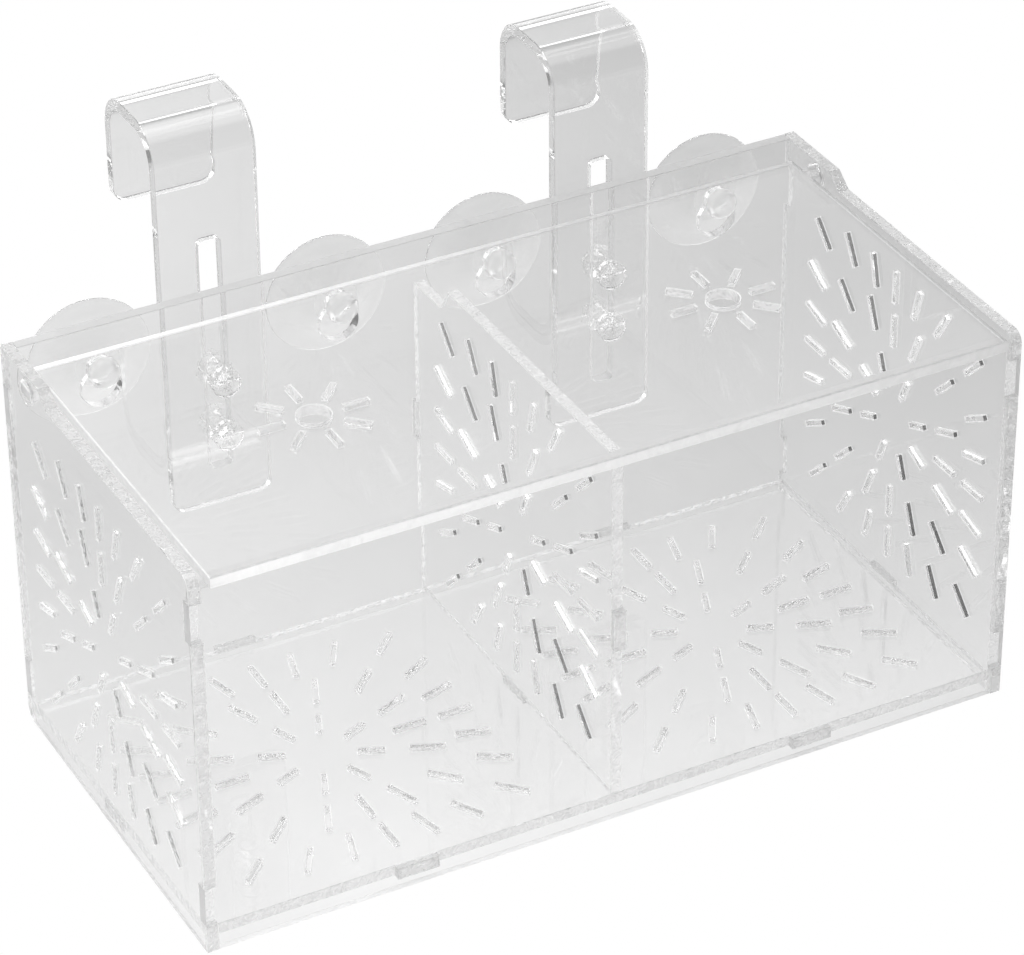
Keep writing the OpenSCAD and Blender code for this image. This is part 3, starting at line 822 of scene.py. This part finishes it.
def floor_material():
    """Plain pale table, softly lit from below like a light table: brightest at the front left of the box, dim to the left of it
    and in front of it. Seen directly it is clean white."""
    m = Mat("table")
    tc = m.n("ShaderNodeTexCoord")
    sep = m.n("ShaderNodeSeparateXYZ")
    m.link(tc.outputs["Object"], sep.inputs[0])
    x, y = sep.outputs["X"], sep.outputs["Y"]
    def span(v, lo, hi):
        return m.math("DIVIDE", m.math("SUBTRACT", v, lo), hi - lo, True)

    near_ = m.math("MULTIPLY", m.math("MAXIMUM", m.math("SUBTRACT", 0.03, y), 0.0), TABLE["front"])
    g = m.math("ADD", m.math("ADD", m.math("MULTIPLY", x, TABLE["x"]), near_), TABLE["glow"])
    g = m.math("SUBTRACT", g, m.math("MULTIPLY", span(y, 0.04, 0.11), TABLE["dip"]))
    g = m.math("ADD", g, m.math("MULTIPLY", span(y, 0.145, 0.21), TABLE["back"]))
    g = m.math("SUBTRACT", g, m.math("MULTIPLY", m.math("SUBTRACT", 1.0, span(x, -0.092, -0.062)), TABLE["left"]))
    g = m.math("MAXIMUM", m.math("MINIMUM", g, TABLE["hi"]), TABLE["lo"])
    left = m.math("DIVIDE", m.math("ADD", x, 0.140), 0.035, True)
    front = m.math("DIVIDE", m.math("ADD", y, 0.100), 0.035, True)
    lit = m.math("MINIMUM", left, front)
    g = m.math("MULTIPLY", g, m.math("ADD", m.math("MULTIPLY", lit, 1.0 - TABLE["dark"]), TABLE["dark"]))
    # far away the glow fades a little
    room = m.math("ADD", m.math("MULTIPLY", span(y, -0.55, -0.35), 0.92), 0.08)
    g = m.math("MULTIPLY", g, room)
    rr = m.math("SQRT", m.math("ADD", m.math("MULTIPLY", x, x), m.math("MULTIPLY", y, y)))
    fade = m.math("MULTIPLY", m.math("SUBTRACT", rr, 0.45), 2.0, True)
    g = m.math("MULTIPLY", g, m.math("SUBTRACT", 1.0, m.math("MULTIPLY", fade, 1.0 - TABLE["far"])))
    comb = m.n("ShaderNodeCombineColor")
    for i in range(3):
        m.link(g, comb.inputs[i])
    glow = m.n("ShaderNodeEmission")
    m.link(comb.outputs[0], glow.inputs["Color"])
    d = m.n("ShaderNodeBsdfDiffuse")
    d.inputs["Color"].default_value = (TABLE["paint"], TABLE["paint"], TABLE["paint"], 1)
    both = m.n("ShaderNodeAddShader")
    m.link(glow.outputs[0], both.inputs[0])
    m.link(d.outputs[0], both.inputs[1])
    e = m.n("ShaderNodeEmission")
    e.inputs["Color"].default_value = (1, 1, 1, 1)
    lp = m.n("ShaderNodeLightPath")
    mix = m.n("ShaderNodeMixShader")
    m.link(lp.outputs["Is Camera Ray"], mix.inputs[0])
    m.link(both.outputs[0], mix.inputs[1])
    m.link(e.outputs[0], mix.inputs[2])
    m.link(mix.outputs[0], m.out.inputs["Surface"])
    return m.m


me = bpy.data.meshes.new("table")
bm = bmesh.new()
bmesh.ops.create_grid(bm, x_segments=1, y_segments=1, size=4.0)
bm.to_mesh(me)
bm.free()
table = bpy.data.objects.new("table", me)
bpy.context.scene.collection.objects.link(table)
table.location = (0, 0, -0.0002)
me.materials.append(floor_material())

def studio_world():
    """Bright white tent: a little dimmer on the right, brightest overhead, dark where the photographer stands."""
    world = bpy.data.worlds.new("studio")
    bpy.context.scene.world = world
    world.use_nodes = True
    nt = world.node_tree
    nt.nodes.clear()

    def math_(op, a, b, clamp=False):
        node = nt.nodes.new("ShaderNodeMath")
        node.operation, node.use_clamp = op, clamp
        for i, v in enumerate((a, b)):
            if isinstance(v, bpy.types.NodeSocket):
                nt.links.new(v, node.inputs[i])
            else:
                node.inputs[i].default_value = v
        return node.outputs[0]

    def span(v, lo, hi):
        """0 below lo, 1 above hi."""
        return math_("DIVIDE", math_("SUBTRACT", v, lo), hi - lo, True)

    tc = nt.nodes.new("ShaderNodeTexCoord")
    sep = nt.nodes.new("ShaderNodeSeparateXYZ")
    nt.links.new(tc.outputs["Generated"], sep.inputs[0])
    base = math_("ADD", math_("MULTIPLY", sep.outputs["X"], WORLD["tilt"]), WORLD["base"])
    top = math_("MULTIPLY", span(sep.outputs["Z"], 0.70, 0.95), WORLD["zenith"])
    lit = math_("ADD", base, top)
    dot = nt.nodes.new("ShaderNodeVectorMath")
    dot.operation = "DOT_PRODUCT"
    nt.links.new(tc.outputs["Generated"], dot.inputs[0])
    dot.inputs[1].default_value = (-0.389, -0.741, 0.547)
    shade = math_("SUBTRACT", 1.0, math_("MULTIPLY", span(dot.outputs["Value"], 0.925, 0.965), WORLD["dark"]))
    lit = math_("MULTIPLY", lit, shade)
    # white backdrop behind the box, low down
    drop = math_("MULTIPLY", span(sep.outputs["Y"], 0.2, 0.4), math_("SUBTRACT", 1.0, span(sep.outputs["Z"], 0.34, 0.44)))
    lit = math_("ADD", lit, math_("MULTIPLY", drop, WORLD["drop"]))
    # the room in front of the tent is dark
    front = math_("SUBTRACT", 1.0, span(sep.outputs["Y"], -0.44, -0.34))
    low = math_("SUBTRACT", 1.0, span(sep.outputs["Z"], 0.76, 0.82))
    lit = math_("MULTIPLY", lit, math_("SUBTRACT", 1.0, math_("MULTIPLY", math_("MULTIPLY", front, low), WORLD["room"])))
    bg = nt.nodes.new("ShaderNodeBackground")
    nt.links.new(lit, bg.inputs[0])
    white = nt.nodes.new("ShaderNodeBackground")
    white.inputs[0].default_value = (1, 1, 1, 1)
    lp = nt.nodes.new("ShaderNodeLightPath")
    mix = nt.nodes.new("ShaderNodeMixShader")
    nt.links.new(lp.outputs["Is Camera Ray"], mix.inputs[0])
    nt.links.new(bg.outputs[0], mix.inputs[1])
    nt.links.new(white.outputs[0], mix.inputs[2])
    out = nt.nodes.new("ShaderNodeOutputWorld")
    nt.links.new(mix.outputs[0], out.inputs[0])


WORLD = {"base": 1.05, "tilt": -0.10, "zenith": 0.4, "dark": 0.35, "room": 0.97, "drop": 0.9}
studio_world()


def area(name, loc, target, size, power):
    l = bpy.data.lights.new(name, "AREA")
    l.shape = "RECTANGLE"
    l.size, l.size_y = size
    l.energy = power
    ob = bpy.data.objects.new(name, l)
    bpy.context.scene.collection.objects.link(ob)
    ob.location = loc
    ob.rotation_mode = "QUATERNION"
    ob.rotation_quaternion = (Vector(loc) - Vector(target)).to_track_quat("Z", "Y")
    return ob


area("overhead_softbox", (-0.1, 0.1, 1.3), (0, 0, 0), (1.3, 1.0), 6.0)
area("left_softbox", (-1.2, -0.5, 0.8), (0, 0, 0.05), (0.8, 0.8), 3.0)
# soft fill from behind for the whitish cut edges; it leaves no reflection of itself in the clear faces
fill = area("back_fill", (-0.1, 0.75, 0.4), (0, 0.05, 0.09), (0.8, 0.5), 1.2)
fill.visible_glossy = fill.visible_transmission = fill.visible_camera = False

cam = bpy.data.cameras.new("camera")
co = bpy.data.objects.new("camera", cam)
bpy.context.scene.collection.objects.link(co)
co.location = (-0.390454, -0.755326, 0.610216)
co.rotation_mode = "QUATERNION"
co.rotation_quaternion = (0.853164, 0.462438, -0.112124, -0.213755)
cam.sensor_width = 36.0
cam.lens = 159.118
cam.clip_start, cam.clip_end = 0.02, 20.0
bpy.context.scene.camera = co

sc = bpy.context.scene
sc.view_settings.view_transform = "Standard"
sc.view_settings.look = "None"
sc.cycles.max_bounces = 32
sc.cycles.transmission_bounces = 28
sc.cycles.glossy_bounces = 24
sc.cycles.diffuse_bounces = 4
sc.cycles.transparent_max_bounces = 40
sc.cycles.blur_glossy = 0.3
